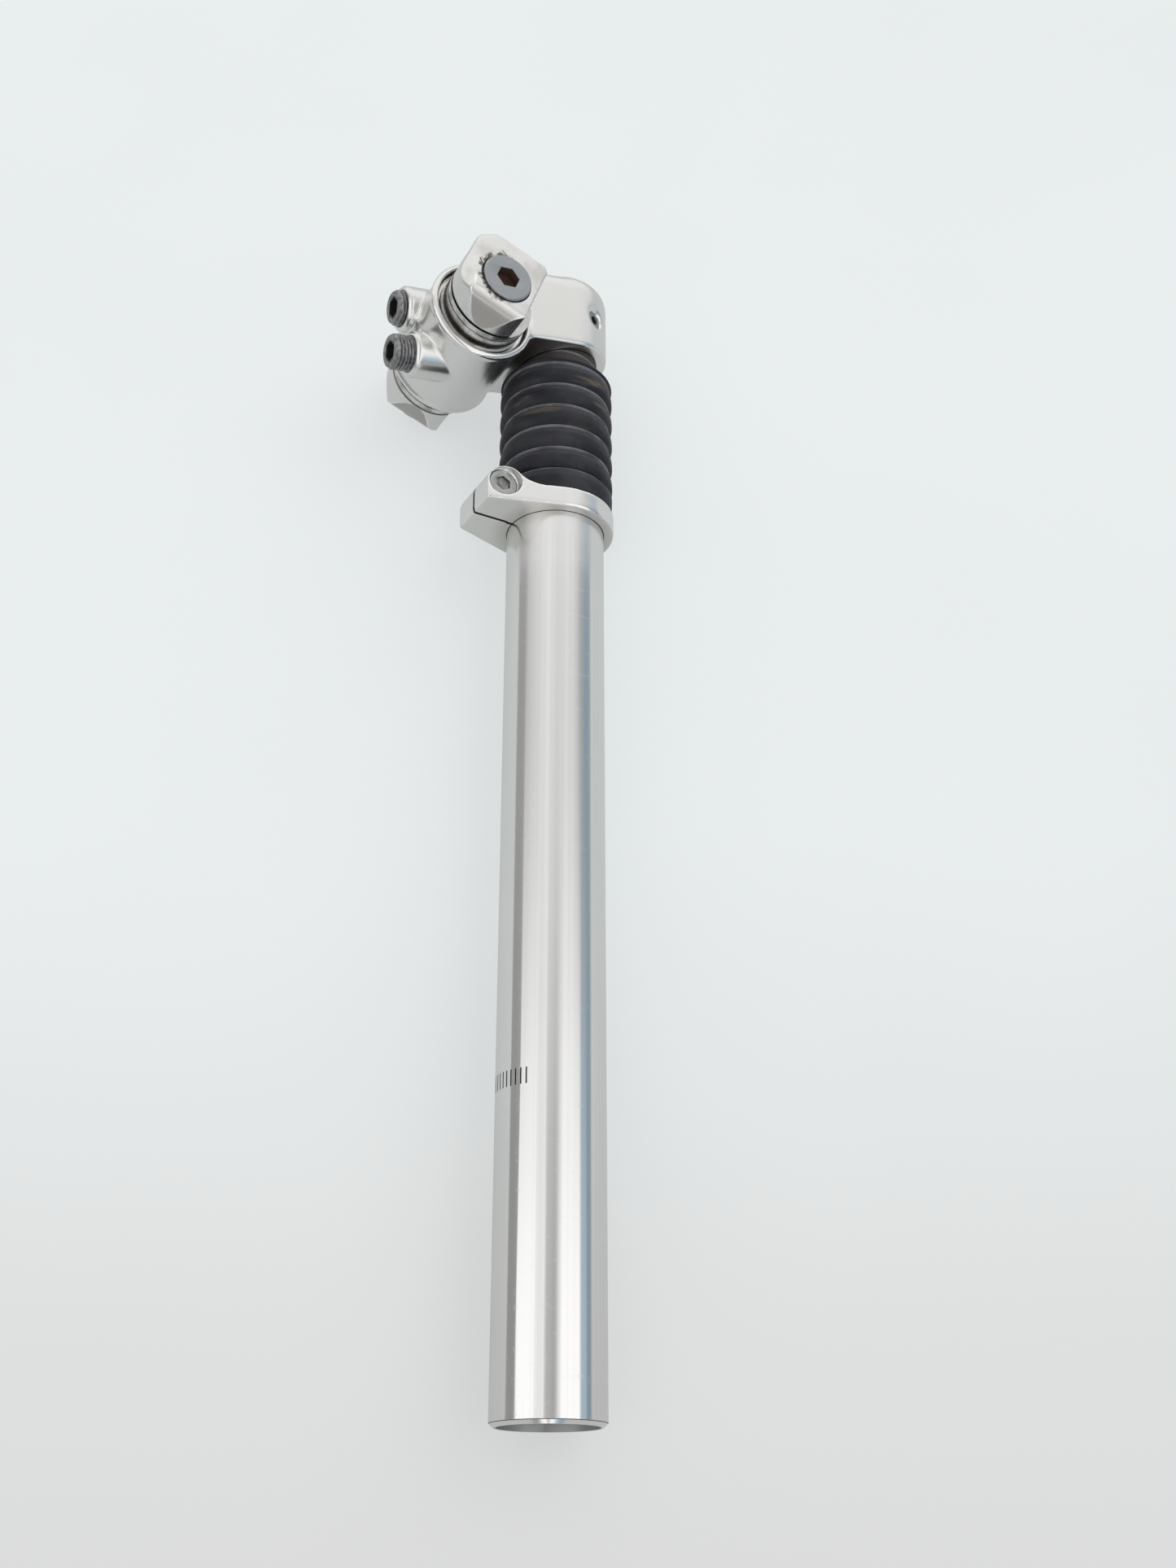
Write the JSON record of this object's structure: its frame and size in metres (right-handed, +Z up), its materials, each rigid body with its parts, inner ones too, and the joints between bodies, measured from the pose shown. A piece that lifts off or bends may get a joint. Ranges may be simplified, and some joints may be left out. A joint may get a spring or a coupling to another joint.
{
  "type": "suspension seatpost",
  "caption": "Bicycle seatpost with a coil-sprung telescoping shaft under a rubber bellows, a pinch collar, and an offset rail clamp whose tilt is set by paired screws",
  "frame": {"origin": "Centre of the tube's lower end, which goes into the bicycle's frame.", "axes": "+Z runs up the post, +X points forward to the saddle's nose, +Y to the rider's left."},
  "size_m": [0.0698, 0.0624, 0.319],
  "materials": {
    "tube_alloy": "fine-turned and polished, lightly handled",
    "plug_alloy": "machined, dull",
    "inner_steel": "ground and greased",
    "spring_steel": "drawn wire, oiled",
    "bush_plastic": "moulded acetal",
    "bumper_rubber": "soft moulded elastomer",
    "collar_alloy": "polished casting with small nicks",
    "zinc_steel": "zinc plated, slightly dulled",
    "bellows_rubber": "matt black rubber with dust in the upper folds",
    "head_alloy": "satin forging with polished lips",
    "clamp_alloy": "worn satin with grime round the bolt",
    "bolt_steel": "dull grey plating, rust in the socket",
    "oxide_steel": "black oxide, worn on the thread"
  },
  "bodies": {
    "post": {"outer_tube": "tube_alloy", "clamp_collar": "collar_alloy", "collar_pinch_bolt": "zinc_steel", "upper_guide_bush": "bush_plastic", "guide_keys": "inner_steel", "bottom_out_bumper": "bumper_rubber", "main_spring": "spring_steel", "bellows": "bellows_rubber"},
    "sprung_post": {"inner_shaft": "inner_steel", "lower_slide_bush": "bush_plastic", "shaft_retaining_ring": "spring_steel", "top_out_bumper": "bumper_rubber", "spring_seat": "plug_alloy", "seat_head": "head_alloy", "head_lock_screw": "oxide_steel"},
    "rail_clamp": {"clamp_spindle": "inner_steel", "inner_clamp_left": "clamp_alloy", "inner_clamp_right": "clamp_alloy", "outer_clamp_left": "clamp_alloy", "outer_clamp_right": "clamp_alloy", "clamp_bolt": "bolt_steel", "clamp_nut": "bolt_steel"},
    "upper_screw": {"tilt_screw_upper": "oxide_steel"},
    "lower_screw": {"tilt_screw_lower": "oxide_steel"},
    "preload_slider": {"preload_washer": "inner_steel"},
    "preload_nut": {"preload_plug": "plug_alloy"}
  },
  "joints": [
    {"name": "suspension_travel", "type": "slide", "parent": "post", "child": "sprung_post", "axis": [0, 0, 1], "range_m": [-0.028, 0], "stiffness_N_per_m": 20000, "springref_m": 0.0015, "deforming": ["main_spring", "bellows"]},
    {"name": "saddle_tilt", "type": "hinge", "parent": "sprung_post", "child": "rail_clamp", "pos_m": [-0.031, 0, 0.293], "axis": [0, 1, 0], "range_deg": [-26, 4]},
    {"name": "upper_screw_feed", "type": "slide", "parent": "sprung_post", "child": "upper_screw", "axis": [-0.9781, 0, -0.2079], "range_m": [-0.0006, 0.0035]},
    {"name": "lower_screw_feed", "type": "slide", "parent": "sprung_post", "child": "lower_screw", "axis": [-0.9781, 0, -0.2079], "range_m": [-0.0035, 0.0006]},
    {"name": "preload_advance", "type": "slide", "parent": "post", "child": "preload_slider", "axis": [0, 0, 1], "range_m": [0, 0.0106]},
    {"name": "preload_turn", "type": "hinge", "parent": "preload_slider", "child": "preload_nut", "pos_m": [0, 0, 0.009], "axis": [0, 0, 1], "range_deg": [0, 2520]}
  ],
  "couplings": [
    {"joint": "upper_screw_feed", "follows": "saddle_tilt", "m_per_rad": -0.0075},
    {"joint": "lower_screw_feed", "follows": "saddle_tilt", "m_per_rad": 0.0075},
    {"joint": "preload_advance", "follows": "preload_turn", "m_per_rad": 0.00023873}
  ]
}
